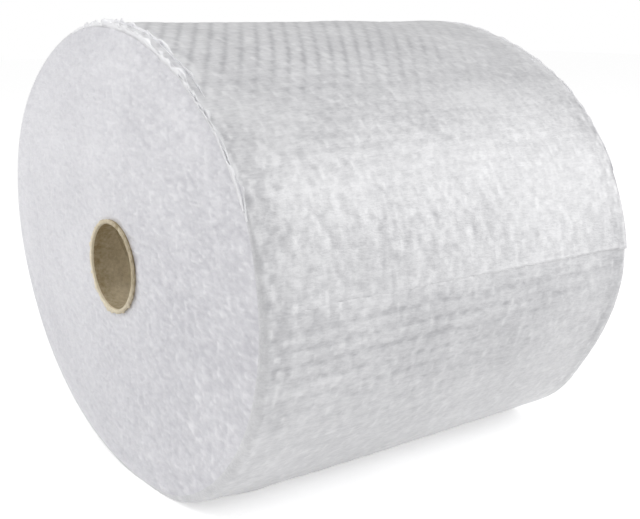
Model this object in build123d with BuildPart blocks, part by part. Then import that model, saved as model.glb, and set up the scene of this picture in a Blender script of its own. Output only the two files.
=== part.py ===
from build123d import *
from math import cos, hypot, pi, radians, sin
import os

# Bubble wrap wound on a paper core, lying on its side along X, in millimetres
# +Z is up, and the origin is on the surface that the roll lies on, under its middle

# Driving sizes of the wound web
web_width = 305.0
wide_diameter = 349.0
tall_diameter = 301.0
lean_deg = 17.0
flat_depth = 2.5

# One turn of the web, whose bubbles stand in staggered rows along the roll
turn_thickness = 3.6
bubble_pitch = 11.5
groove_depth = 1.3
row_shares = ((0, 1), (0.2, 0.3), (0.5, 0), (0.8, 0.3))
selvage_width = 6.5
selvage_depth = 2.0

# The free end of the web, which sinks to a low step on the turn below it
tail_deg = 180.0
tail_step = 1.2
tail_sink_deg = 25.0

# Turns that have slipped a little out of the wound ends
slip_rise = 0.9
slip_spacing = 12.0
slip_thickness = 6.0
slip_margin = 9.0

# Paper core, a little off the middle of the soft roll
core_bore = 57.0
core_wall = 2.5
core_standout = 1.0
core_aside = 7.0
core_sink = 5.0

# Straight runs that a slipped turn is drawn with
runs_per_turn = 40

# Worked out from the sizes above
wide_radius = wide_diameter / 2
tall_radius = tall_diameter / 2
lean = radians(lean_deg)
tail = radians(tail_deg)
lowest_reach = hypot(wide_radius * sin(lean), tall_radius * cos(lean))
under_share = 1 - (270 - tail_deg) / 360
roll_height = lowest_reach - turn_thickness * under_share - flat_depth
core_radius = core_bore / 2 + core_wall
core_height = roll_height - core_sink
core_length = web_width + 2 * core_standout
body_width = web_width - 2 * slip_rise

# Close-packed rows lie nearer to each other than the bubbles within a row
row_spacing = bubble_pitch * sin(radians(60))
row_count = round(pi * (wide_radius + tall_radius) / row_spacing)
slip_turns = (tall_radius - core_radius - 2 * slip_margin - slip_thickness) / slip_spacing


def oval_radius(angle):
    """Distance from the middle of the roll to the crowns of the outermost bubbles."""
    return wide_radius * tall_radius / hypot(
        tall_radius * cos(angle - lean), wide_radius * sin(angle - lean)
    )


def tail_sink(turn_share):
    """How far the last turn has sunk towards the one below, near its free end."""
    share = max(0, 1 - (1 - turn_share) * 360 / tail_sink_deg)
    return (turn_thickness - tail_step) * share * share * (3 - 2 * share)


def outline_point(turn_share, depth):
    """Point on the outermost turn, from its step (0) round to its free end (1)."""
    angle = tail - 2 * pi * (1 - turn_share)
    sunk = turn_thickness * (1 - turn_share) + tail_sink(turn_share)
    radius = oval_radius(angle) - sunk - depth
    return radius * cos(angle), roll_height + radius * sin(angle)


def slip_point(turns, offset):
    """Point on the slipped turns, spiralling from the core out to the outermost turns."""
    angle = tail + 2 * pi * turns
    out_share = turns / slip_turns
    outer = oval_radius(angle) - slip_margin - slip_thickness
    inner = core_radius + slip_margin
    radius = inner + (outer - inner) * out_share + offset
    aside = core_aside * (1 - out_share)
    sink = core_sink * (1 - out_share)
    return aside + radius * cos(angle), roll_height - sink + radius * sin(angle)


# Wound web, all its turns as one solid
with BuildPart() as bubble_web:
    # Flat film from selvage to selvage: one turn of a spiral, closed by the step at its free end
    with BuildSketch(Plane.YZ.offset(-body_width / 2)):
        with BuildLine():
            Polyline(
                *[outline_point(i / row_count, selvage_depth) for i in range(row_count + 1)],
                close=True,
            )
        make_face()
    extrude(amount=body_width)
    # Rows of bubbles along the roll, between the selvages
    with BuildSketch(Plane.YZ.offset(selvage_width - body_width / 2)):
        with BuildLine():
            Polyline(
                *[
                    outline_point((row + across_share) / row_count, groove_depth * depth_share)
                    for row in range(row_count)
                    for across_share, depth_share in row_shares
                ],
                outline_point(1, groove_depth),
                close=True,
            )
        make_face()
    extrude(amount=body_width - 2 * selvage_width)
    # Slipped turns, a spiral that stands out of each end
    for side in (-1, 1):
        with BuildSketch(Plane.YZ.offset(side * body_width / 2)):
            with BuildLine():
                step_count = round(slip_turns * runs_per_turn)
                turns = [slip_turns * i / step_count for i in range(step_count + 1)]
                inside = Polyline(*[slip_point(turn, 0) for turn in turns])
                outside = Polyline(*[slip_point(turn, slip_thickness) for turn in turns])
                Line(inside @ 0, outside @ 0)
                Line(inside @ 1, outside @ 1)
            make_face()
        extrude(amount=side * slip_rise)
    # Hole that the core fills
    with BuildSketch(Plane.YZ):
        with Locations((core_aside, core_height)):
            Circle(core_radius)
    extrude(amount=web_width, both=True, mode=Mode.SUBTRACT)
    # Flat spot that the soft roll lies on
    split(bisect_by=Plane.XY, keep=Keep.TOP)
bubble_web.part.label = "bubble_web"

# Paper tube that the web is wound on
with BuildPart() as core:
    with BuildSketch(Plane.YZ.offset(-core_length / 2)):
        with Locations((core_aside, core_height)):
            Circle(core_radius)
            Circle(core_bore / 2, mode=Mode.SUBTRACT)
    extrude(amount=core_length)
core.part.label = "core"

os.makedirs("parts", exist_ok=True)
export_step(bubble_web.part, "parts/bubble_web.step")
export_step(core.part, "parts/core.step")
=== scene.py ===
from math import cos, pi, radians, sin

import bpy
import numpy as np
from bpy.props import FloatProperty, FloatVectorProperty, IntProperty, PointerProperty
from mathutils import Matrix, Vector


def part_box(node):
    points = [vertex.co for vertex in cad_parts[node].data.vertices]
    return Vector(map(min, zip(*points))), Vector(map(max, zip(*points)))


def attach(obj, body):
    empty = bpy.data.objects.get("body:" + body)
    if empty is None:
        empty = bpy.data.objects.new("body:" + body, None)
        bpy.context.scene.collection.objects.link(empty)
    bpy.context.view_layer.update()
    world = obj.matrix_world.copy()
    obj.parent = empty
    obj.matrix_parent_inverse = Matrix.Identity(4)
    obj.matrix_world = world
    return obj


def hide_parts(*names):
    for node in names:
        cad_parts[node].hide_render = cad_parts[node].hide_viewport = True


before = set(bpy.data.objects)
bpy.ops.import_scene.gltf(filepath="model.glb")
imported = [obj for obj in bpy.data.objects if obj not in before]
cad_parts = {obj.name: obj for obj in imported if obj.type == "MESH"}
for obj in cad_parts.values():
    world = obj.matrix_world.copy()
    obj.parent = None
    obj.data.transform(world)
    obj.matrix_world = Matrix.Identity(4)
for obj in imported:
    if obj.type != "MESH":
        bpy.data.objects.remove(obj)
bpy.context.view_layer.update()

bl_info = {
    "name": "Bubble Wrap Roll",
    "version": (1, 0, 0),
    "blender": (4, 5, 0),
    "location": "3D View > Sidebar > Roll",
    "description": "Dresses a roll of bubble wrap on a paper core",
    "category": "Object",
}

WEB_NODE = "bubble_web"
CORE_NODE = "core"
WEB_LOW, WEB_HIGH = (np.array(corner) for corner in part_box(WEB_NODE))
CORE_LOW, CORE_HIGH = (np.array(corner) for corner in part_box(CORE_NODE))
CORE_MIDDLE = (CORE_LOW + CORE_HIGH) / 2
CORE_RADIUS = (CORE_HIGH[1] - CORE_LOW[1]) / 2
CORE_WALL = 0.0025

# What each part of the work adds to the seed of the roll
WAVE_SEED = 30
END_SEED = 5
EDGE_SEED = 40
MOUTH_SEED = 60

# Soft waves of the wound web: height, and length along the roll and round it
WAVE_HEIGHT = 0.0006
WAVE_ALONG = 0.045
WAVE_ROUND = 0.055

# Where the soft roll leaves the oval: middle and spread as shares of the turn, and rise
PROUD_FAR = (0.01, 0.05, 0.0040)
FULL_BELOW = (0.18, 0.055, 0.0090)
FULL_CORNER = (0.122, 0.024, 0.0034)
SUNK_FAR = (0.81, 0.06, -0.0030)
SUNK_NEAR = (0.64, 0.06, -0.0030)

# Places along the roll where a change begins, and the length over which it grows
END_HALF = (-0.05, 0.20)
NEAR_TIP = (0.105, 0.05)
FAR_HALF = (-0.04, 0.08)
FAR_SOFTENING = (-0.02, 0.12)
FAR_RIM = (0.09, 0.05)
LIP_SHOWS = (-0.08, 0.10)

# Stretches of the turn, as shares of it: begin and growth, end and fading
PRESSED = (0.02, 0.08, 0.47, 0.08)
BACK = (0.22, 0.08, 0.60, 0.08)
TOP = (0.60, 0.05, 0.88, 0.06)
LIT_RIM_STRIP = (0.64, 0.04, 0.88, 0.05)
LIT = (0.866, 0.012, 0.915, 0.03)
CAMERA_SIDE = (0.84, 0.05)
BESIDE_END = (0.86, 0.05)
BELOW_END = (0.14, 0.05)

# Noise over the web: its table, length along the roll and round it, and shift in the table
WEB_NOISE = {
    "drift along": (3, 0.07, 0.05, 3, 0),
    "drift round": (4, 0.06, 0.09, 0, 8),
    "uneven": (1, 0.006, 0.010, 0, 0),
    "crumple": (2, 0.0032, 0.0050, 0, 0),
    "wrinkle": (2, 0.014, 0.0026, 4, 0),
    "wall": (4, 0.004, 0.004, 0, 0),
    "diagonal_shade": (3, 0.02, 0.02, 7, 0),
    "fleck": (1, 0.0030, 0.0042, 11, 2),
    "patch": (0, 0.005, 0.009, 3, 3),
    "streak": (2, 0.016, 0.0024, 7, 5),
    "torn": (1, 0.0021, 0.0036, 3, 9),
    "cloud": (0, 0.028, 0.012, 9, 3),
    "fold": (2, 0.010, 0.0026, 4, 0),
    "grain": (0, 0.0024, 0.0032, 5, 1),
}

# Noise over a wound end: its table, and length along Y and along Z
END_NOISE = {
    "crumple": (0, 0.0070, 0.0038),
    "fine": (4, 0.0038, 0.0020),
    "speck": (5, 0.0044, 0.0024),
}

# Film edges: from and to (degrees), distance in from the rim at both, base, height and lean outwards
FILM_EDGES = (
    (70, 160, -0.0003, -0.0003, -0.0008, 0.0037, 0.12),
    (66, 133, 0.0120, 0.0060, 0.0000, 0.0032, 0.35),
    (70, 122, 0.0106, 0.0062, -0.0004, 0.0030, 0.2),
    (76, 162, 0.0004, 0.0002, -0.0008, 0.0032, 0.0),
    (84, 158, 0.0012, 0.0003, -0.0004, 0.0024, 0.6),
)

# Place of each lamp, and its width and height
LAMPS = {
    "key": ((1.6, -1.25, 1.07), (1.2, 1.9)),
    "fill": ((-0.62, 0.22, 0.70), (0.5, 0.5)),
    "front": ((-0.25, -1.50, 1.50), (1.2, 0.9)),
}
FLOOR_REACH = 6.0


# Sizes and colours that a user would change

class RollSizes(bpy.types.PropertyGroup):
    """Form of the wound roll, as its solid has it"""
    wide_radius: FloatProperty(
        name="Wide radius", description="Half of the oval section's long axis",
        default=0.1745, unit="LENGTH")
    tall_radius: FloatProperty(
        name="Tall radius", description="Half of the oval section's short axis",
        default=0.1505, unit="LENGTH")
    lean: FloatProperty(
        name="Lean", description="Angle of the long axis above the floor",
        default=radians(17), subtype="ANGLE")
    turn_thickness: FloatProperty(
        name="Turn", description="Thickness of one turn of the web",
        default=0.0036, unit="LENGTH")
    tail_angle: FloatProperty(
        name="Free end", description="Where the free end lies round the roll",
        default=pi, subtype="ANGLE")
    flat_depth: FloatProperty(
        name="Flat spot", description="How far the flat spot cuts into the round",
        default=0.0025, unit="LENGTH")
    end_rise: FloatProperty(
        name="Slip", description="How far slipped turns stand out of the ends",
        default=0.0009, unit="LENGTH")
    seed: IntProperty(
        name="Seed", description="Start of all the random draws", default=11)


class BubbleSizes(bpy.types.PropertyGroup):
    """The bubbles and the flat film round them"""
    pitch: FloatProperty(
        name="Pitch", description="From one bubble to the next in a row along the roll",
        default=0.0115, unit="LENGTH")
    radius: FloatProperty(
        name="Radius", description="Radius of a bubble", default=0.0055, unit="LENGTH")
    height: FloatProperty(
        name="Height", description="How far a pressed bubble stands out of the film",
        default=0.0004, unit="LENGTH")
    selvage: FloatProperty(
        name="Selvage", description="Cut and crumpled bubbles at each edge of the web",
        default=0.0075, unit="LENGTH")
    selvage_drop: FloatProperty(
        name="Selvage drop", description="How far the selvage lies below the film",
        default=0.0005, unit="LENGTH")
    shoulder: FloatProperty(
        name="Shoulder", description="Radius of the turn from the side to the ends, above",
        default=0.0014, unit="LENGTH")
    shoulder_below: FloatProperty(
        name="Shoulder below", description="The same radius where the roll's weight rounds it",
        default=0.005, unit="LENGTH")
    tail_step: FloatProperty(
        name="End step", description="How far the free end stands above the turn below",
        default=0.0006, unit="LENGTH")
    tail_ease: FloatProperty(
        name="End ease", description="Length over which the last turn sinks to the one below",
        default=0.07, unit="LENGTH")
    samples: IntProperty(
        name="Samples", description="Mesh steps for each bubble", default=10)


class FilmColours(bpy.types.PropertyGroup):
    """Colours of the film and the paper"""
    film: FloatVectorProperty(
        name="Film", description="Film over many turns", subtype="COLOR",
        default=(0.78, 0.78, 0.795))
    # Darkest film tone, which the painted shade between the bubbles and below the free end takes, as does
    # random cloudiness
    film_deep_and_shaded: FloatVectorProperty(
        name="Film in the gaps", description="Film between the bubbles", subtype="COLOR",
        default=(0.42, 0.42, 0.44))
    edge: FloatVectorProperty(
        name="Cut edges", description="Edges of the turns at the roll's ends", subtype="COLOR",
        default=(0.86, 0.855, 0.89))
    # Darkest tone of the ends, which their painted shade and the random rings and crumples take
    edge_deep_and_shaded: FloatVectorProperty(
        name="Between edges", description="Gaps between the turns at the ends", subtype="COLOR",
        default=(0.56, 0.555, 0.60))
    loose: FloatVectorProperty(
        name="Loose film", description="Single film that stands up at the rims", subtype="COLOR",
        default=(0.95, 0.95, 0.97))
    paper: FloatVectorProperty(
        name="Core paper", description="Brown paper of the core", subtype="COLOR",
        default=(0.30, 0.225, 0.115))
    # Pale paper of the cut ends, and the tone of the painted light low down and deep inside the core
    paper_pale_and_lit: FloatVectorProperty(
        name="Core paper, pale", description="Cut and worn paper of the core", subtype="COLOR",
        default=(0.89, 0.80, 0.62))


class StageSettings(bpy.types.PropertyGroup):
    """Camera, lamps and floor"""
    camera_place: FloatVectorProperty(
        name="Camera", description="Where the camera stands", subtype="TRANSLATION",
        default=(-0.4551, -0.6188, 0.3070))
    camera_heading: FloatProperty(
        name="Heading", description="Camera's direction in plan, from +X towards +Y",
        default=radians(52.85), subtype="ANGLE")
    camera_tilt: FloatProperty(
        name="Tilt", description="How far the camera looks down",
        default=radians(13.2), subtype="ANGLE")
    lens: FloatProperty(
        name="Lens", description="Focal length in millimetres on a 36 mm sensor",
        default=59.88)
    key_power: FloatProperty(
        name="Key lamp", description="Power of the large lamp beyond the far end",
        default=17.8, unit="POWER")
    fill_power: FloatProperty(
        name="Fill lamp", description="Power of the lamp that faces the near end",
        default=2.15, unit="POWER")
    front_power: FloatProperty(
        name="Front lamp", description="Power of the lamp on the free end's side",
        default=4.4, unit="POWER")
    sky: FloatProperty(
        name="Sky", description="Strength of the plain light from all round", default=0.56)


# Curves from 0 to 1

def grow(value, start, width):
    """0 up to the start, and 1 from a width after it."""
    return np.clip((value - start) / width, 0, 1)


def fade(value, end, width):
    """1 until a width before the end, and 0 from there."""
    return np.clip((end - value) / width, 0, 1)


def over(share, stretch):
    """1 on a stretch of the turn, growing and fading at its ends."""
    begin, growth, end, fading = stretch
    return grow(share, begin, growth) * fade(share, end, fading)


def bell(value, middle, spread):
    return np.exp(-((value - middle) / spread) ** 2)


def smooth(value):
    return value * value * (3 - 2 * value)


def value_noise(table, x, y):
    """Smooth random values from -1 to 1 at x and y, repeating over the table."""
    rows, columns = table.shape
    left, low = np.floor(x).astype(int), np.floor(y).astype(int)
    across, up = smooth(x - left), smooth(y - low)
    a = table[low % rows, left % columns]
    b = table[low % rows, (left + 1) % columns]
    c = table[(low + 1) % rows, left % columns]
    d = table[(low + 1) % rows, (left + 1) % columns]
    return 2 * ((a * (1 - across) + b * across) * (1 - up) + (c * (1 - across) + d * across) * up) - 1


def line_noise(table, along, line=0):
    """Smooth random values from -1 to 1 that change along one direction only."""
    return value_noise(table, along, along * 0 + line)


# Form of the roll

class RollForm:
    """Crowns of the outermost bubbles: one spiral turn of an oval, measured along the web."""
    measured_points = 4001

    # Where along the roll the free end lifts off the turn below, and by which multiples of its step
    lift_from, lift_length = -0.04, 0.10
    lift_least, lift_most = -0.8, 2.2

    # Share by which the fullness underneath is less at the near tip
    tip_spared = 0.55

    # Sine of the angle below which the rims grow rounder, and the span over which they do
    rounder_below, rounder_span = 0.55, 0.8

    def __init__(self, sizes):
        self.sizes = sizes
        lowest = np.hypot(sizes.wide_radius * sin(sizes.lean), sizes.tall_radius * cos(sizes.lean))
        under = 1 - (1.5 * pi - sizes.tail_angle) / (2 * pi)
        self.height = lowest - sizes.turn_thickness * under - sizes.flat_depth
        self.half_width = (WEB_HIGH[0] - WEB_LOW[0]) / 2 - sizes.end_rise
        self.share = np.linspace(0, 1, self.measured_points)
        y, z = self.round(self.share, 0)
        self.arc = np.concatenate([[0], np.cumsum(np.hypot(np.diff(y), np.diff(z)))])
        self.length = self.arc[-1]

    def oval(self, angle):
        wide, tall = self.sizes.wide_radius, self.sizes.tall_radius
        turned = angle - self.sizes.lean
        return wide * tall / np.hypot(tall * np.cos(turned), wide * np.sin(turned))

    def angle_at(self, share):
        return self.sizes.tail_angle - 2 * pi * (1 - share)

    def arc_at(self, share):
        return np.interp(share, self.share, self.arc) + np.maximum(share - 1, 0) * self.length

    def round(self, share, out):
        """Y and Z at a share of the turn, out being the distance beyond the crowns."""
        angle = self.angle_at(share)
        radius = self.oval(angle) - self.sizes.turn_thickness * (1 - share) + out
        return radius * np.cos(angle), self.height + radius * np.sin(angle)

    def ease(self, share, bubbles):
        """From 0 to 1 over the last stretch before the free end."""
        return smooth(np.clip(1 - np.clip(1 - share, 0, 1) * self.length / bubbles.tail_ease, 0, 1))

    def sink(self, share, x, bubbles):
        """How far the last turn has sunk towards the one below, least at the far end."""
        lift = np.clip((x - self.lift_from) / self.lift_length, self.lift_least, self.lift_most)
        least_gap = bubbles.tail_step + bubbles.tail_step * lift
        return (self.sizes.turn_thickness - least_gap) * self.ease(share, bubbles)

    def wave(self, share, x, bubbles):
        """Slow rise and fall of the web, which follows the turn below at its free end."""
        table = np.random.default_rng(self.sizes.seed + WAVE_SEED).random((64, 64))
        arc = self.arc_at(share)
        own = value_noise(table, x / WAVE_ALONG, arc / WAVE_ROUND)
        below = value_noise(table, x / WAVE_ALONG, (arc - self.length) / WAVE_ROUND)
        wave = WAVE_HEIGHT * (own + (below - own) * self.ease(share, bubbles))
        return wave + self.settle(share, x)

    def settle(self, share, x):
        """Where the soft roll leaves the oval: sunk above at its ends, full below and at the far one."""
        near, far = (grow(place, *END_HALF) for place in (-x, x))
        spared = 1 - self.tip_spared * grow(-x, *NEAR_TIP)
        swells = ((PROUD_FAR, far), (FULL_BELOW, spared), (FULL_CORNER, far), (SUNK_FAR, far),
                  (SUNK_NEAR, near))
        return sum(rise * amount * bell((share - middle + 0.5) % 1 - 0.5, 0, spread)
                   for (middle, spread, rise), amount in swells)

    def shoulder(self, share, bubbles):
        """Radius of the rim at a share of the turn, larger underneath."""
        below = smooth(fade(np.sin(self.angle_at(share)), self.rounder_below, self.rounder_span))
        return bubbles.shoulder + (bubbles.shoulder_below - bubbles.shoulder) * below


class OuterTurn:
    """The outermost turn as a grid of points: columns along the roll, rows round it."""
    steps_per_row = 8

    # Places on a rounded rim, as shares of its radius, and how the web goes on down the end
    rim_shares = np.array([0.72, 0.5, 0.34, 0.22, 0.13, 0.06, 0.02, 0])
    end_insets = np.array([0.0003, 0.0006])
    end_hangs = np.array([0.001, 0.0025])

    # Row of points under the free end, and the one that drops from it to the turn below, by a
    # depth and some bubble heights
    under_share, under_depth = 0.004, 0.0015
    drop_length, drop_depth, drop_heights = 0.0010, 0.0005, 1.1

    # How much single bubbles differ in height, place and depth of the painted shade in the hollow beside
    # them
    least_strength, strength_range = 0.8, 0.25
    weak_share, weak_strength = 0.05, 0.5
    cut_strength = 0.3
    misplaced = 0.0005
    least_depth, depth_range = 0.45, 0.75
    drift_along, drift_round = 0.0012, 0.0010

    # Shape of a bubble: share of the dome in its height, and reach and greatest sum of the pillows
    dome_share, pillow_reach, pillow_most = 0.25, 0.4, 1.15
    # Size of the painted shade in the hollow beside each bubble, along the roll and round it, and how much
    # higher the bubbles stand at the back
    hollow_along, hollow_round = 0.0030, 0.0022
    raised_back = 3.0

    # Widths from the rims inwards
    crush_width, inward_width = 0.030, 0.005

    # Unevenness of the film, in metres
    uneven_near, uneven_less_far = 0.00022, 0.00007
    crumple_height, wrinkle_height, selvage_crumple = 0.00008, 0.00007, 0.0002
    lip_height, rows_in_lip = 0.0003, 0.25

    # Waves in the line of the free end: their height and length, long and short ones
    long_wave, long_wave_length = 0.0016, 0.03
    short_wave, short_wave_length = 0.0006, 0.006
    end_reach = 0.02

    # Lowest height above the floor, and how much of the bubbles shows where the roll rests
    floor_gap, floor_lift = 0.0001, 0.0003

    def __init__(self, sizes, bubbles):
        self.form = RollForm(sizes)
        self.bubbles = bubbles
        rng = np.random.default_rng(sizes.seed)
        round_length = pi * (sizes.wide_radius + sizes.tall_radius)
        self.rows = round(round_length / (bubbles.pitch * sin(radians(60))))
        self.strength = self.least_strength + self.strength_range * rng.random((self.rows + 2, 64))
        self.strength[rng.random(self.strength.shape) < self.weak_share] *= self.weak_strength
        self.shift_x, self.shift_arc = self.misplaced * rng.normal(size=(2, *self.strength.shape))
        self.depth = self.least_depth + self.depth_range * rng.random(self.strength.shape)
        self.tables = rng.random((5, 64, 64))
        self.lay_grid()
        self.lay_bubbles()
        self.find_zones()

    def lay_grid(self):
        form, bubbles = self.form, self.bubbles
        level = form.half_width - bubbles.shoulder_below
        steps = round(2 * level / bubbles.pitch * bubbles.samples)
        rim = form.half_width - bubbles.shoulder_below * self.rim_shares
        side = np.append(rim, form.half_width - self.end_insets)
        hang = np.append(0 * rim, self.end_hangs)
        across = np.concatenate([-side[::-1], np.linspace(-level, level, steps + 1), side])
        # How far each column hangs below the rim
        self.hang = np.concatenate([hang[::-1], np.zeros(steps + 1), hang])
        shares = np.linspace(0, 1, self.rows * self.steps_per_row + 1)
        dropped = 1 + self.drop_length / form.length
        self.x, self.share = np.meshgrid(across, [-self.under_share, *shares, dropped])
        self.arc = form.arc_at(self.share)
        self.inset = form.half_width - np.abs(self.x)

    def noise(self, name):
        """Smooth values from -1 to 1 over the web."""
        table, along, around, shift_along, shift_around = WEB_NOISE[name]
        return value_noise(self.tables[table], self.x / along + shift_along,
                           self.arc / around + shift_around)

    def lay_bubbles(self):
        """Domes in staggered rows, soft pillows round them, and painted shade in a hollow beside each."""
        form, bubbles, pitch = self.form, self.bubbles, self.bubbles.pitch
        moved_x = self.x + self.drift_along * self.noise("drift along")
        moved_arc = self.arc + self.drift_round * self.noise("drift round")
        dome, pillow, self.spot = (np.zeros_like(self.x) for _ in range(3))
        self.away_least = np.full_like(self.x, pitch)
        count = int(2 * (form.half_width + pitch) / pitch)
        first = -count * pitch / 2 + pitch / 4
        # The painted shade in the hollows is drawn out along the roll below the free end
        drawn = 1 + 0.8 * fade(self.share, 0.156, 0.12)
        for beside in (-1, 0, 1):
            row = np.floor(self.share * self.rows).astype(int) + beside
            inside = (row >= 0) & (row < self.rows)
            row = np.clip(row, 0, self.rows - 1)
            begin = first + pitch / 2 * (row % 2)
            column = np.clip(np.round((self.x - begin) / pitch).astype(int), 0, count)
            middle = begin + column * pitch + self.shift_x[row, column]
            from_middle = moved_x - middle
            from_row = moved_arc - (form.arc_at((row + 0.5) / self.rows) + self.shift_arc[row, column])
            away = np.hypot(from_middle, from_row)
            cut = np.abs(middle) > form.half_width - bubbles.selvage - bubbles.radius
            height = np.where(cut, self.cut_strength, self.strength[row, column])
            dome = np.maximum(dome, inside * height * (1 - np.clip(away / bubbles.radius, 0, 1) ** 3))
            for aside in (-1, 0, 1):
                spread = np.hypot(from_middle - aside * pitch, from_row)
                pillow += inside * height * bell(spread, 0, self.pillow_reach * pitch)
            self.away_least = np.where(inside, np.minimum(self.away_least, away), self.away_least)
            from_spot = from_row - pitch / 3 ** 0.5
            hollow = (from_middle / (self.hollow_along * drawn)) ** 2
            hollow += (from_spot * drawn / self.hollow_round) ** 2
            self.spot = np.maximum(self.spot, inside * self.depth[row, column] * np.exp(-hollow))
        self.dome = self.dome_share * dome
        self.dome += (1 - self.dome_share) * np.minimum(pillow, self.pillow_most)
        self.diagonal = ((moved_x - first) / pitch + (self.share * self.rows - 0.5) / 2) % 1

    def find_zones(self):
        """Where the web is pressed, crushed, softened or lit, each from 0 to 1."""
        self.crush = np.clip(1 - self.inset / self.crush_width, 0, 1)
        self.edge = smooth(np.clip(1 - self.inset / self.bubbles.selvage, 0, 1))
        self.pressed = over(self.share, PRESSED)
        self.on_top = over(self.share, TOP)
        self.camera_side = grow(self.share, *CAMERA_SIDE)
        self.farther = grow(self.x, *FAR_SOFTENING)
        # Bubbles are softer at the rims, where pressed, towards the far end and on the camera's side
        self.softness = (1 - 0.5 * self.crush) * (1 - 0.5 * self.pressed) * (1 - 0.45 * self.farther)
        self.softness *= 1 - 0.3 * self.camera_side
        lip = np.clip((self.share * self.rows - self.rows + self.rows_in_lip) / self.rows_in_lip, 0, 1)
        self.lip = lip * grow(self.x, *LIP_SHOWS)
        self.crumple = self.noise("crumple")
        self.radius = self.form.shoulder(self.share, self.bubbles)

    def points(self):
        form, bubbles, x, share = self.form, self.bubbles, self.x, self.share
        wave = form.wave(share, x, bubbles)
        inward = np.clip(self.inset / self.inward_width, 0, 1)
        # The bubbles are less pressed at the back
        back = 1 + self.raised_back * over(share, BACK)
        out = bubbles.height * (self.dome * back * self.softness * inward - 1) + wave
        uneven = self.uneven_near - self.uneven_less_far * self.farther
        out += inward * uneven * self.noise("uneven")
        out += self.crumple_height * self.crumple + self.wrinkle_height * self.noise("wrinkle")
        out += self.edge * (self.selvage_crumple * self.crumple * inward - bubbles.selvage_drop)
        # The last turn sinks to the one below, and its edge is a thin film
        out += self.lip_height * self.lip - form.sink(share, x, bubbles)
        below = wave - form.sizes.turn_thickness - bubbles.height * self.drop_heights
        out = np.where(share > 1, below - self.drop_depth, out)
        out -= self.under_depth * (share < 0)
        # The web turns round the rims and down the ends
        radius = self.radius
        into = np.clip(radius - self.inset, 0, radius)
        round_rim = radius - np.sqrt(radius ** 2 - into ** 2)
        out -= np.where(self.hang > 0, radius + self.hang, round_rim)
        line = self.long_wave * line_noise(self.tables[3], x / self.long_wave_length, 0.5)
        line += self.short_wave * line_noise(self.tables[4], x / self.short_wave_length, 0.5)
        line *= grow(self.arc, form.length - self.end_reach, self.end_reach)
        y, z = form.round(share + line / form.length, out)
        resting = self.floor_gap + self.floor_lift * self.dome
        z = np.where(z < self.floor_gap + self.floor_lift, resting, z)
        return np.stack([x, y, z], axis=-1)

    def relief(self):
        """Tone of each point, with painted light and shade, from 0 in the deepest hollow to 1 on the
        palest film.

        The factors are the shares of that range that each kind of mark adds or takes.
        """
        share, inset, crush, crumple = self.share, self.inset, self.crush, self.crumple
        beside = grow(share, *BESIDE_END) + fade(share, *BELOW_END)
        shade_below_end = fade(self.arc, 0.091, 0.07) * np.clip(self.arc / 0.002, 0, 1)
        far_rim = grow(self.x, *FAR_RIM)
        patch, streak = self.noise("patch"), self.noise("streak")
        fleck = np.clip(1.9 * self.noise("fleck") - 0.6, 0, 1)
        spot = self.spot * (1 - 0.7 * self.on_top)

        # Bubbles: painted light on their crowns, and painted shade in the gaps between them and in a
        # hollow beside each
        gap_shade = np.clip((self.away_least / self.bubbles.pitch - 0.40) / 0.15, 0, 1)
        wall = bell(self.away_least, 0, 0.6 * self.bubbles.radius) * (0.6 + 0.8 * self.noise("wall"))
        relief = 0.66 + (0.10 * wall - 0.16 * gap_shade - 0.36 * spot) * self.softness ** 2

        # Painted shade in lines along one diagonal, which show on top, and painted shade over the whole
        # top
        diagonal_shade = bell(self.diagonal, 0.5, 0.19) * self.on_top
        diagonal_shade *= np.clip(1.15 - (self.x + 0.05) / 0.2, 0.3, 1)
        diagonal_shade *= 0.75 + 0.35 * self.noise("diagonal_shade")
        relief -= 0.54 * diagonal_shade * (1 - self.edge) + 0.07 * self.on_top

        # Flecks, clouds and fine wrinkles of the whole web
        relief += 0.28 * fleck + 0.07 * self.noise("cloud") + 0.06 * self.noise("fold")
        # Fine crumples, and painted light along the edge of the free end
        relief += 0.08 * crumple + 0.25 * self.lip

        # Crumpled selvages, a little darker, with a line of painted shade inside them, a strip of painted
        # light along the top rims, and torn flecks at the rims
        relief += self.edge * (0.26 * patch + 0.2 * crumple - 0.12) + 0.16 * crush * patch
        relief -= beside * bell(inset, 0.0125, 0.0050) * (0.2 + 0.14 * patch + 0.1 * crumple)
        relief += 0.42 * fade(inset, 0.0144, 0.009) * over(share, LIT_RIM_STRIP)
        torn = np.clip(1.8 * self.noise("torn") - 0.4, -0.4, 1)
        relief += 0.42 * bell(inset, 0.003, 0.0035) * torn * np.minimum(beside, 1)
        relief += crush * (0.22 * crumple + 0.2 * fleck) * (0.3 + 0.7 * np.minimum(beside, 1))

        # Painted shade where the roll rests, below the free end and towards the far rim on the camera's
        # side, and finer grain above the free end
        relief -= shade_below_end * (0.22 + 0.05 * spot + 0.16 * streak) + 0.10 * self.pressed
        relief += self.camera_side * (0.16 * self.noise("grain") - 0.04)
        relief -= far_rim * (0.18 * self.camera_side + 0.08 * shade_below_end)

        # Where the light begins on the far half, sharper than the lamp draws it
        far_half = grow(self.x, *FAR_HALF)
        relief += far_half * (0.16 * over(share, LIT) + 0.12 * streak * self.on_top)

        # Painted light and shade on the rims: palest on top, darker elsewhere, paler at the far rim, with
        # random patches and crumples
        rim_light_and_shade = 0.58 + 0.42 * fade(np.abs(share - 0.75), 5 / 26, 1 / 26)
        rim_light_and_shade += 0.12 * patch + 0.2 * crumple + 0.12 * far_rim
        on_rim = np.clip(1.4 - inset / self.radius, 0, 1)
        # The face that drops from the free end gets a pale tone, painted light where it lies in shadow
        return np.where(share > 1, 0.85, relief + (rim_light_and_shade - relief) * on_rim)


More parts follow.
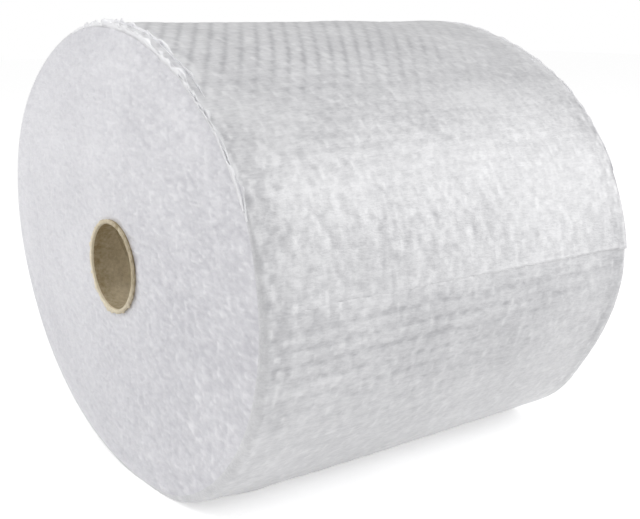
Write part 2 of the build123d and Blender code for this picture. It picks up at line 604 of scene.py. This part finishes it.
def grid_faces(rows, columns, ring=False, tube=False):
    """Quads of a grid of points. A ring joins its last row to its first, and a tube its columns."""
    row = np.arange(rows if ring else rows - 1)[:, None] * columns
    following = (row + columns) % (rows * columns)
    column = np.arange(columns - 1)
    corners = (row + column, row + column + 1, following + column + 1, following + column)
    faces = np.stack(corners, axis=-1).reshape(-1, 4)
    if tube:
        closing = (row + columns - 1, row, following, following + columns - 1)
        faces = np.concatenate([faces, np.concatenate(closing, axis=1)])
    return faces


def add_object(name, data):
    added = bpy.data.objects.new(name, data)
    bpy.context.scene.collection.objects.link(added)
    return added


def make_piece(name, points, material, slot_name, replaced=(), flip=False, **joins):
    """Smooth mesh object over a grid of points, which rides on the roll."""
    faces = grid_faces(*points.shape[:2], **joins)
    faces = faces[:, ::-1] if flip else faces
    mesh = bpy.data.meshes.new(name)
    mesh.from_pydata(points.reshape(-1, 3).tolist(), [], faces.tolist())
    mesh.validate()
    mesh.polygons.foreach_set("use_smooth", np.ones(len(mesh.polygons), dtype=bool))
    mesh.materials.append(material)
    piece = add_object(name, mesh)
    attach(piece, "root")
    if replaced:
        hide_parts(*replaced)
    return piece


def store_relief(piece, values):
    """Keep the tone of each point, from 0 to 1, for the material to read."""
    attribute = piece.data.attributes.new("relief", "FLOAT", "POINT")
    attribute.data.foreach_set("value", np.clip(values, 0, 1).reshape(-1).astype(np.float32))


# Materials

def node_group(name, inputs, outputs):
    """New shader node group with named sockets, and its two end nodes."""
    group = bpy.data.node_groups.new(name, "ShaderNodeTree")
    for direction, sockets in (("INPUT", inputs), ("OUTPUT", outputs)):
        for socket_name, kind, value in sockets:
            socket = group.interface.new_socket(name=socket_name, in_out=direction, socket_type=kind)
            if value is not None:
                socket.default_value = value
    return group, group.nodes.new("NodeGroupInput"), group.nodes.new("NodeGroupOutput")


def set_inputs(tree, node, values):
    """Link each input to a socket, or give it a number or a colour."""
    for name, value in values.items():
        if isinstance(value, bpy.types.NodeSocket):
            tree.links.new(value, node.inputs[name])
        elif isinstance(value, (int, float)):
            node.inputs[name].default_value = value
        else:
            node.inputs[name].default_value = (*value, 1)


def add_math(tree, operation, *values):
    """Math node fed with sockets or numbers, giving its output socket."""
    node = tree.nodes.new("ShaderNodeMath")
    node.operation = operation
    set_inputs(tree, node, dict(enumerate(values)))
    return node.outputs[0]


def add_scaled(tree, value, factor, added):
    return add_math(tree, "MULTIPLY_ADD", value, factor, added)


def add_limits(tree, value):
    """Keep a value between 0 and 1."""
    return add_math(tree, "MINIMUM", add_math(tree, "MAXIMUM", value, 0.0), 1.0)


def add_noise(tree, vector, scale, detail, roughness=0.5):
    noise = tree.nodes.new("ShaderNodeTexNoise")
    set_inputs(tree, noise, {"Vector": vector, "Scale": scale, "Detail": detail, "Roughness": roughness})
    return noise.outputs["Fac"]


def add_mix(tree, share, first, second):
    """Colour mix fed with sockets or colours, giving its output socket."""
    node = tree.nodes.new("ShaderNodeMix")
    node.data_type = "RGBA"
    set_inputs(tree, node, {0: share, 6: first, 7: second})
    return node.outputs[2]


def add_bumps(tree, shader, height, strength, distance):
    bumps = tree.nodes.new("ShaderNodeBump")
    set_inputs(tree, bumps, {"Height": height, "Strength": strength, "Distance": distance})
    tree.links.new(bumps.outputs["Normal"], shader.inputs["Normal"])


def new_material(name):
    material = bpy.data.materials.new(name)
    material.use_nodes = True
    return material, material.node_tree, material.node_tree.nodes["Principled BSDF"]


def film_haze_group():
    """Cloudiness of film over film: patches, fine creases and a height for bumps."""
    name = "Film haze"
    if name in bpy.data.node_groups:
        return bpy.data.node_groups[name]
    group, start, end = node_group(
        name,
        (("Deep", "NodeSocketColor", (0.5, 0.5, 0.5, 1)),
         ("Pale", "NodeSocketColor", (0.8, 0.8, 0.8, 1)),
         ("Relief", "NodeSocketFloat", 0.5),
         ("Stretch", "NodeSocketVector", (1.0, 1.0, 1.0)),
         ("Contrast", "NodeSocketFloat", 0.6),
         ("Crease", "NodeSocketFloat", 260.0),
         ("Crease strength", "NodeSocketFloat", 0.16),
         ("Grain", "NodeSocketFloat", 900.0)),
        (("Colour", "NodeSocketColor", None),
         ("Roughness", "NodeSocketFloat", None),
         ("Height", "NodeSocketFloat", None)))
    given = start.outputs
    place = group.nodes.new("ShaderNodeTexCoord").outputs["Object"]
    drawn = group.nodes.new("ShaderNodeVectorMath")
    drawn.operation = "DIVIDE"
    set_inputs(group, drawn, {0: place, 1: given["Stretch"]})
    patches = add_noise(group, place, 22.0, 3.0)
    creases = add_noise(group, drawn.outputs[0], given["Crease"], 3.0, 0.6)
    fine = add_noise(group, drawn.outputs[0], given["Grain"], 2.0)
    # A crease is a thin ridge where its noise crosses the middle
    ridge = add_math(group, "ABSOLUTE", add_math(group, "SUBTRACT", creases, 0.5))
    ridge = add_math(group, "SUBTRACT", 1.0, add_math(group, "MULTIPLY", ridge, 9.0))
    ridge = add_math(group, "MAXIMUM", ridge, 0.0)
    tone = add_scaled(group, add_math(group, "SUBTRACT", patches, 0.5), 0.7, given["Relief"])
    tone = add_scaled(group, add_math(group, "SUBTRACT", fine, 0.5), given["Contrast"], tone)
    tone = add_limits(group, add_scaled(group, ridge, given["Crease strength"], tone))
    set_inputs(group, end, {"Colour": add_mix(group, tone, given["Deep"], given["Pale"]),
                            "Roughness": add_scaled(group, patches, 0.25, 0.24),
                            "Height": add_scaled(group, ridge, 0.55, fine)})
    return group


def film_material(name, deep, pale, bump, **haze_inputs):
    """Clear film wound over itself, with the painted light and shade of its tone attribute, darker in its
    hollows.
    """
    material, tree, shader = new_material(name)
    haze = tree.nodes.new("ShaderNodeGroup")
    haze.node_tree = film_haze_group()
    for socket_name, value in haze_inputs.items():
        haze.inputs[socket_name.replace("_", " ").capitalize()].default_value = value
    relief = tree.nodes.new("ShaderNodeAttribute")
    relief.attribute_name = "relief"
    set_inputs(tree, haze, {"Deep": deep, "Pale": pale, "Relief": relief.outputs["Fac"]})
    add_bumps(tree, shader, haze.outputs["Height"], bump, 0.0006)
    set_inputs(tree, shader, {
        "Base Color": haze.outputs["Colour"], "Roughness": haze.outputs["Roughness"],
        "Coat Weight": 0.8, "Coat Roughness": 0.34, "Coat IOR": 1.7, "IOR": 1.5})
    return material


def paper_material(name, colours):
    """Brown paper wound in a spiral, with seams, fibres, a pale cut edge, and painted light low down and
    deep inside.
    """
    ribbon_pitch, seam_share = 0.085, 0.012
    edge_width, mouth_width, mouth_fading = 0.0012, 0.004, 0.024
    material, tree, shader = new_material(name)
    place = tree.nodes.new("ShaderNodeTexCoord").outputs["Object"]
    axes = tree.nodes.new("ShaderNodeSeparateXYZ")
    tree.links.new(place, axes.inputs[0])
    half_length = float(CORE_HIGH[0])
    y = add_math(tree, "SUBTRACT", axes.outputs["Y"], float(CORE_MIDDLE[1]))
    z = add_math(tree, "SUBTRACT", axes.outputs["Z"], float(CORE_MIDDLE[2]))
    from_middle = add_math(tree, "ABSOLUTE", axes.outputs["X"])
    # Seams where one ribbon of paper meets the next
    angle = add_math(tree, "DIVIDE", add_math(tree, "ARCTAN2", z, y), 2 * pi)
    ribbon = add_math(tree, "FRACT", add_scaled(tree, axes.outputs["X"], 1 / ribbon_pitch, angle))
    seam = add_math(tree, "ABSOLUTE", add_math(tree, "SUBTRACT", ribbon, 0.5))
    seam = add_math(tree, "LESS_THAN", seam, seam_share)
    fibres = add_noise(tree, place, 420.0, 5.0, 0.65)
    blots = add_noise(tree, place, 85.0, 3.0)
    # Share of the pale paper: painted light low down and deep inside, and more at the cut ends, less so
    # towards -Y
    share = add_scaled(tree, fibres, 0.9, -0.24)
    share = add_scaled(tree, blots, 0.5, share)
    share = add_scaled(tree, z, -6.0, share)
    cut = add_math(tree, "GREATER_THAN", from_middle, half_length - edge_width)
    share = add_scaled(tree, cut, add_scaled(tree, y, 10.0, 0.60), share)
    share = add_scaled(tree, seam, -0.25, share)
    # Painted light deep inside the core and painted shade near its mouths
    inside = add_math(tree, "SUBTRACT", half_length - mouth_width, from_middle)
    inside = add_limits(tree, add_math(tree, "DIVIDE", inside, mouth_fading))
    share = add_scaled(tree, add_math(tree, "SUBTRACT", inside, 0.45), 0.75, share)
    paper = add_mix(tree, add_limits(tree, share), colours.paper, colours.paper_pale_and_lit)
    set_inputs(tree, shader, {"Base Color": paper, "Roughness": add_scaled(tree, fibres, 0.2, 0.75)})
    add_bumps(tree, shader, add_scaled(tree, seam, -1.0, fibres), 0.5, 0.0004)
    return material


# Pieces

class ROLL_OT_outer_turn(bpy.types.Operator):
    """Lay the outermost turn, with its rows of bubbles, in three runs"""
    bl_idname = "roll.outer_turn"
    bl_label = "Outer turn"

    runs = 3

    def execute(self, context):
        scene = context.scene
        colours = scene.film_colours
        turn = OuterTurn(scene.roll_sizes, scene.bubble_sizes)
        points, relief = turn.points(), turn.relief()
        material = film_material("Bubble film", colours.film_deep_and_shaded, colours.film, 0.3,
                                 stretch=(3, 1, 1), crease=330.0, crease_strength=0.14,
                                 grain=700.0, contrast=0.6)
        for run in range(self.runs):
            part = slice(len(points) * run // self.runs, len(points) * (run + 1) // self.runs + 1)
            piece = make_piece(f"web_outer_turn_{run + 1}", points[part], material, "film",
                               (WEB_NODE,), flip=True)
            store_relief(piece, relief[part])
        return {"FINISHED"}


class ROLL_OT_wound_ends(bpy.types.Operator):
    """Lay the cut edges of all the turns at both ends of the roll"""
    bl_idname = "roll.wound_ends"
    bl_label = "Wound ends"

    steps_per_turn = 4
    steps_round = 640

    # Slips, long slips and ripples in one turn, ripples across it, and size of the rings in tone
    slips_per_turn, long_slips_per_turn = 1.3, 0.23
    ripples_per_turn, ripples_across = 38, 2
    turns_in_ring, rings_round = 2.4, 9

    def execute(self, context):
        scene = context.scene
        form = RollForm(scene.roll_sizes)
        colours = scene.film_colours
        material = film_material("Cut film edges", colours.edge_deep_and_shaded, colours.edge, 0.6,
                                 stretch=(1, 2.2, 1), crease=260.0, crease_strength=0.16,
                                 grain=430.0, contrast=0.5)
        for side, name in ((-1, "web_end_near"), (1, "web_end_far")):
            self.wound_end(name, form, scene.bubble_sizes, side, material)
        return {"FINISHED"}

    def wound_end(self, name, form, bubbles, side, material):
        turns = round((form.sizes.tall_radius - CORE_RADIUS) / form.sizes.turn_thickness) - 1
        tables = np.random.default_rng(form.sizes.seed + END_SEED + side).random((6, 97, 97))
        out_share, share = np.meshgrid(np.linspace(0, 1, turns * self.steps_per_turn + 1),
                                       np.linspace(0, 1, self.steps_round + 1))
        angle = form.angle_at(share)
        edge_x = side * form.half_width
        depth = bubbles.height + bubbles.selvage_drop + form.shoulder(share, bubbles)
        depth += form.sink(share, edge_x, bubbles) - form.wave(share, edge_x, bubbles)
        rim_y, rim_z = form.round(share, -depth)
        hub_y = CORE_MIDDLE[1] + CORE_RADIUS * np.cos(angle)
        hub_z = CORE_MIDDLE[2] + CORE_RADIUS * np.sin(angle)
        y = hub_y + (rim_y - hub_y) * out_share
        z = hub_z + (rim_z - hub_z) * out_share
        crumple, fine, speck = (value_noise(tables[table], y / wide, z / tall)
                                for table, wide, tall in END_NOISE.values())
        speck = np.clip(speck * 2 - 0.7, 0, 1)
        # Place across one turn, and the length of web wound since the core, in turns
        layer = out_share * (turns + share) - share
        across = layer % 1
        wound = np.floor(layer) + share
        slip = line_noise(tables[1], wound * self.slips_per_turn, 0.5)
        slip_long = line_noise(tables[2], wound * self.long_slips_per_turn, 0.5)
        ripple = value_noise(tables[3], wound * self.ripples_per_turn, across * self.ripples_across)
        rise = 0.4 + 0.10 * slip + 0.20 * slip_long + 0.06 * (bell(across, 0.2, 0.17) - 0.4)
        rise += 0.04 * ripple + 0.3 * crumple + 0.2 * fine + 0.5 * speck
        # The end is level at the rim, and nearly so at the core
        rise *= np.clip((1 - out_share) * 30, 0, 1) * np.clip(out_share * 40, 0.2, 1)
        x = edge_x + side * form.sizes.end_rise * rise
        points = np.stack([x, y, np.maximum(z, 0.0004)], axis=-1)
        piece = make_piece(name, points, material, "film", (WEB_NODE,), flip=side > 0)
        rings = value_noise(tables[2], layer / self.turns_in_ring, share * self.rings_round)
        tone = self.shade(form, *np.moveaxis(points[..., 1:], -1, 0), out_share)
        rough = np.clip(0.60 - y / 0.16, 0.12, 1.2)
        tone += rough * (0.12 * crumple + 0.20 * fine + 0.4 * speck)
        store_relief(piece, tone + 0.10 * rings * np.clip(out_share * 3 - 1.6, 0, 1))

    def shade(self, form, y, z, out_share):
        """Painted light and shade on an end: paler towards its top and the back, and darker beside the
        core.
        """
        up = z - form.height
        shade = np.clip(up / 0.25 + y / 1.2 - 0.10 * out_share, -0.28, 0.25)
        shade -= 0.25 * bell(y, -0.06, 0.07) * bell(up, -0.02, 0.08)
        return 0.46 + 0.6 * shade


class ROLL_OT_film_edges(bpy.types.Operator):
    """Stand thin, wavy edges of loose film along the rims"""
    bl_idname = "roll.film_edges"
    bl_label = "Loose film edges"

    far_height = 0.3
    step_angle = 0.005
    ripple_length, drift_length = 0.006, 0.024
    drift, fine_drift = 0.0008, 0.0003

    # Closed thin section of the film: up one face and down the other
    half_thickness = 0.00018
    section_up = np.array([[0, 0.5, 1, 1, 0.5, 0]])
    section_face = np.array([[-1, -1, -0.6, 0.6, 1, 1]])
    foot_depth = 0.0010

    def execute(self, context):
        scene = context.scene
        form = RollForm(scene.roll_sizes)
        colours = scene.film_colours
        material = film_material("Loose film", colours.edge, colours.loose, 0.4,
                                 crease=260.0, crease_strength=0.16, grain=900.0)
        for side, where in ((-1, "near"), (1, "far")):
            for number, film_edge in enumerate(FILM_EDGES):
                tables = np.random.default_rng(
                    abs(scene.roll_sizes.seed + number + 7 * side) + EDGE_SEED).random((4, 8, 211))
                self.film_edge(f"film_edge_{where}_{number + 1}", form, scene.bubble_sizes, side,
                               film_edge, tables, material)
        return {"FINISHED"}

    def film_edge(self, name, form, bubbles, side, film_edge, tables, material):
        from_degrees, to_degrees, first_inset, last_inset, base, tall, lean = film_edge
        start, stop = radians(from_degrees), radians(to_degrees)
        count = round((stop - start) / self.step_angle)
        place = np.linspace(0, 1, count + 1)[:, None]
        angle = start + (stop - start) * place
        share = (1 - (form.sizes.tail_angle - angle) / (2 * pi)) % 1
        along = angle * form.sizes.wide_radius
        ripple, sway, fine = (line_noise(tables[table], along / self.ripple_length, line)
                              for table, line in ((0, 0), (1, 0), (3, 3)))
        inset = first_inset + (last_inset - first_inset) * place
        # Lower towards both tips, most of all at the first
        taper = np.clip(np.minimum(place, 1 - place) * 14, 0, 1) * np.clip(0.4 + 2.4 * place, 0, 1)
        rise = tall * (1 if side < 0 else self.far_height) * taper * (0.75 + 0.55 * ripple)
        sway = lean + 0.5 * sway
        drift = self.drift * line_noise(tables[2], along / self.drift_length)
        drift += self.fine_drift * fine
        up, face = self.section_up, self.section_face * self.half_thickness
        foot = self.foot_depth + form.shoulder(share, bubbles) - bubbles.shoulder
        low = base - bubbles.height - bubbles.selvage_drop
        out = low - foot * (up == 0) + rise * up * np.cos(sway) + face * np.sin(sway)
        edge_x = side * form.half_width
        out = out - form.sink(share, edge_x, bubbles) + form.wave(share, edge_x, bubbles)
        x = side * (form.half_width - inset + drift + rise * up * np.sin(sway) - face * np.cos(sway))
        y, z = form.round(share, out)
        points = np.stack([x, y, np.maximum(z, 0.0002)], axis=-1)
        piece = make_piece(name, points, material, "film", (WEB_NODE,), flip=side > 0, tube=True)
        grain = line_noise(tables[3], along / self.ripple_length)
        # Painted light towards the top of each film edge and painted shade at its foot, with grain along
        # it
        store_relief(piece, 0.7 + 0.3 * up + 0.3 * grain + 0 * x)


class ROLL_OT_core(bpy.types.Operator):
    """Give the paper core its brown spiral-wound paper and its torn mouths"""
    bl_idname = "roll.core"
    bl_label = "Paper core"

    steps_round = 240
    torn_depth, bent_height, thick_height = 0.0022, 0.0005, 0.0001
    tears_round = 61

    # Section of a mouth, from the bore over the rim to the outside and back inside the wall:
    # distance out from the bore as shares of the wall, height over the cut, and how far it is torn or bent
    section_reach = np.array([[0.1, 0.0, 0.45, 1.0, 1.06, 0.9]])
    section_lift = np.array([[-0.0004, 0.0002, 0.0005, 0.0003, -0.0006, -0.0006]])
    section_torn = np.array([[0, 0, 0, 1, 1, 0]])
    section_bent = np.array([[0, 0.5, 1, 1, 0.5, 0]])

    def execute(self, context):
        scene = context.scene
        material = paper_material("Core paper", scene.film_colours)
        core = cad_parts[CORE_NODE]
        core = core if isinstance(core, bpy.types.Object) else bpy.data.objects[CORE_NODE]
        for slot in core.material_slots:
            slot.material = material
        for side, where in ((-1, "near"), (1, "far")):
            table = np.random.default_rng(scene.roll_sizes.seed + MOUTH_SEED + side).random(
                (4, self.tears_round))
            self.frayed_mouth(f"core_frayed_mouth_{where}", side, table, material)
        return {"FINISHED"}

    def frayed_mouth(self, name, side, table, material):
        """Thin torn rim of paper round a mouth of the core."""
        angle = np.linspace(0, 2 * pi, self.steps_round, endpoint=False)[:, None]
        tears = angle / (2 * pi) * self.tears_round
        torn, bent, thick = (line_noise(table, tears * step, line + 0.5)
                             for step, line in ((1, 0), (2, 1), (1, 2)))
        reach = self.section_reach * CORE_WALL
        reach = reach + self.torn_depth * np.clip(torn + 0.1, 0, 1) * self.section_torn
        lift = self.section_lift + self.bent_height * bent * self.section_bent
        lift = lift + self.thick_height * thick
        radius = CORE_RADIUS - CORE_WALL + reach
        points = np.stack([side * (CORE_HIGH[0] + lift), CORE_MIDDLE[1] + radius * np.cos(angle),
                           CORE_MIDDLE[2] + radius * np.sin(angle)], axis=-1)
        make_piece(name, points, material, "core_paper", flip=side > 0, ring=True, tube=True)


class ROLL_OT_stage(bpy.types.Operator):
    """Set the floor, the lamps, the plain sky and the camera"""
    bl_idname = "roll.stage"
    bl_label = "Stage"

    def execute(self, context):
        scene = context.scene
        settings = scene.stage_settings
        self.floor()
        self.sky(settings)
        middle = Vector((0, 0, WEB_HIGH[2] / 2))
        for name, (place, size) in LAMPS.items():
            self.lamp(f"{name}_lamp", place, size, middle, getattr(settings, f"{name}_power"))
        self.camera(scene, settings)
        scene.view_settings.view_transform = "Standard"
        return {"FINISHED"}

    def floor(self):
        """Matt pale floor, white to the camera, which keeps the roll's shadow."""
        mesh = bpy.data.meshes.new("floor")
        reach = FLOOR_REACH
        corners = [(-reach, -reach, 0), (reach, -reach, 0), (reach, reach, 0), (-reach, reach, 0)]
        mesh.from_pydata(corners, [], [(0, 1, 2, 3)])
        material, tree, shader = new_material("Pale floor")
        path = tree.nodes.new("ShaderNodeLightPath")
        seen = add_math(tree, "MAXIMUM", path.outputs["Is Camera Ray"], path.outputs["Is Glossy Ray"])
        seen = add_math(tree, "MAXIMUM", seen, path.outputs["Is Transmission Ray"])
        set_inputs(tree, shader, {
            "Base Color": (0.86, 0.86, 0.86), "Roughness": 0.9, "Specular IOR Level": 0.1,
            "Emission Color": (1, 1, 1), "Emission Strength": add_math(tree, "MULTIPLY", seen, 0.5)})
        mesh.materials.append(material)
        add_object("floor", mesh)

    def sky(self, settings):
        """White to the camera, and plain soft light to everything else."""
        world = bpy.data.worlds.new("Plain sky")
        bpy.context.scene.world = world
        world.use_nodes = True
        tree = world.node_tree
        background = tree.nodes["Background"]
        path = tree.nodes.new("ShaderNodeLightPath")
        seen = add_math(tree, "MAXIMUM", path.outputs["Is Camera Ray"],
                        path.outputs["Is Transmission Ray"])
        strength = add_scaled(tree, seen, 1 - settings.sky, settings.sky)
        set_inputs(tree, background, {"Color": (1, 1, 1), "Strength": strength})

    def lamp(self, name, place, size, target, power):
        light = bpy.data.lights.new(name, "AREA")
        light.shape = "RECTANGLE"
        light.size, light.size_y = size
        light.energy = power
        lamp = add_object(name, light)
        lamp.visible_camera = False
        lamp.location = place
        lamp.rotation_euler = (target - Vector(place)).to_track_quat("-Z", "Y").to_euler()

    def camera(self, scene, settings):
        view = bpy.data.cameras.new("camera")
        view.lens = settings.lens
        camera = add_object("camera", view)
        camera.location = settings.camera_place
        heading, tilt = settings.camera_heading, settings.camera_tilt
        direction = Vector((cos(heading) * cos(tilt), sin(heading) * cos(tilt), -sin(tilt)))
        camera.rotation_euler = direction.to_track_quat("-Z", "Y").to_euler()
        scene.camera = camera


class ROLL_PT_panel(bpy.types.Panel):
    """Sizes, colours and steps of the bubble wrap roll"""
    bl_idname = "ROLL_PT_panel"
    bl_label = "Bubble wrap roll"
    bl_space_type = "VIEW_3D"
    bl_region_type = "UI"
    bl_category = "Roll"

    def draw(self, context):
        layout = self.layout
        for settings in (getattr(context.scene, group_name) for group_name in GROUPS):
            box = layout.box()
            for name in settings.__annotations__:
                box.prop(settings, name)
        for operator in OPERATORS:
            layout.operator(operator.bl_idname)


GROUPS = {"roll_sizes": RollSizes, "bubble_sizes": BubbleSizes, "film_colours": FilmColours,
          "stage_settings": StageSettings}
OPERATORS = (ROLL_OT_outer_turn, ROLL_OT_wound_ends, ROLL_OT_film_edges, ROLL_OT_core, ROLL_OT_stage)


def register():
    for cls in (*GROUPS.values(), *OPERATORS, ROLL_PT_panel):
        bpy.utils.register_class(cls)
    for group_name, group in GROUPS.items():
        setattr(bpy.types.Scene, group_name, PointerProperty(type=group))


def unregister():
    for group_name in GROUPS:
        delattr(bpy.types.Scene, group_name)
    for cls in reversed((*GROUPS.values(), *OPERATORS, ROLL_PT_panel)):
        bpy.utils.unregister_class(cls)


def main():
    register()
    bpy.ops.roll.outer_turn()
    bpy.ops.roll.wound_ends()
    bpy.ops.roll.film_edges()
    bpy.ops.roll.core()
    bpy.ops.roll.stage()


if __name__ == "__main__":
    main()
